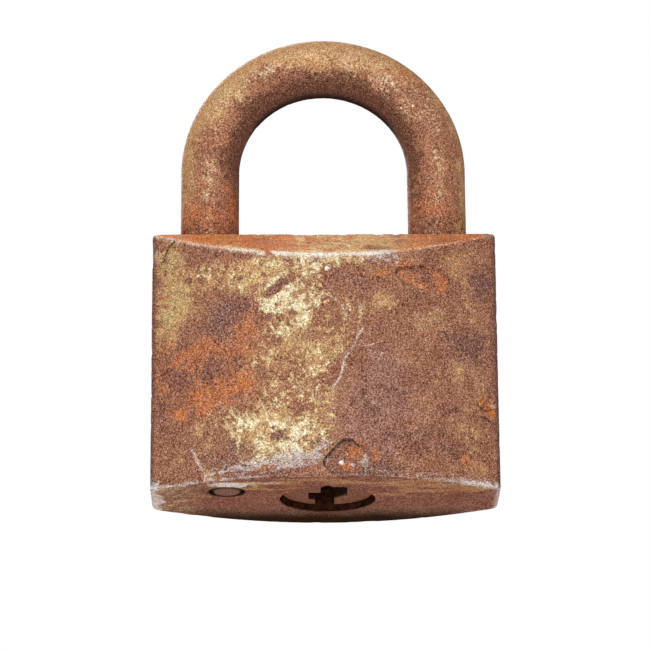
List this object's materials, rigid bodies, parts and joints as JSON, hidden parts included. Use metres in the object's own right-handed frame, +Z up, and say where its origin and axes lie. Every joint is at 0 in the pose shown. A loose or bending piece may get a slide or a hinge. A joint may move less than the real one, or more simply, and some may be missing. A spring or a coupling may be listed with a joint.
{
  "type": "padlock",
  "caption": "Old rusted iron padlock with an arched-front body, round shackle and a key core in the bottom face.",
  "frame": {"origin": "centre of the bottom face, which the lock stands on", "axes": "+Z up along the shackle legs, +X to the right seen from the front, the front is the -Y side"},
  "size_m": [0.06, 0.0314, 0.0851],
  "materials": {
    "rusted_body_iron": "heavily rusted, with blotches of worn pale and yellow coating",
    "rusted_shackle_steel": "rusted brown and tan, pitted",
    "rusted_plug_iron": "rusted and dirty",
    "browned_pin_steel": "browned",
    "dull_bolt_steel": "dull",
    "dull_spring_steel": "dull",
    "tarnished_core_brass": "tarnished"
  },
  "bodies": {
    "case": {"lock_body": "rusted_body_iron", "shackle_spring": "dull_spring_steel", "stop_pin": "browned_pin_steel", "feed_plug": "browned_pin_steel", "plug_clip_pin": "browned_pin_steel", "driver_pin_1": "tarnished_core_brass", "driver_pin_2": "tarnished_core_brass", "driver_pin_3": "tarnished_core_brass", "driver_pin_4": "tarnished_core_brass", "driver_pin_5": "tarnished_core_brass", "pin_spring_1": "dull_spring_steel", "pin_spring_2": "dull_spring_steel", "pin_spring_3": "dull_spring_steel", "pin_spring_4": "dull_spring_steel", "pin_spring_5": "dull_spring_steel", "back_plug_1": "browned_pin_steel", "back_plug_2": "browned_pin_steel", "back_plug_3": "browned_pin_steel", "back_plug_4": "browned_pin_steel", "back_plug_5": "browned_pin_steel"},
    "shackle": {"shackle": "rusted_shackle_steel"},
    "core": {"key_plug": "rusted_plug_iron", "tail_cam": "dull_bolt_steel", "key_pin_1": "tarnished_core_brass", "key_pin_2": "tarnished_core_brass", "key_pin_3": "tarnished_core_brass", "key_pin_4": "tarnished_core_brass", "key_pin_5": "tarnished_core_brass"},
    "bolt": {"latch_bolt": "dull_bolt_steel"}
  },
  "joints": [
    {"name": "shackle_lift", "type": "slide", "parent": "case", "child": "shackle", "axis": [0, 0, 1], "range_m": [0, 0.013], "deforming": ["shackle_spring"]},
    {"name": "key_turn", "type": "hinge", "parent": "case", "child": "core", "pos_m": [0.0004, -0.0004, 0], "axis": [0, 0, 1], "range_deg": [0, 90]},
    {"name": "bolt_slide", "type": "slide", "parent": "case", "child": "bolt", "axis": [1, 0, 0], "range_m": [0, 0.0024]}
  ],
  "couplings": [
    {"joint": "bolt_slide", "follows": "key_turn", "m_per_rad": 0.0015279}
  ]
}
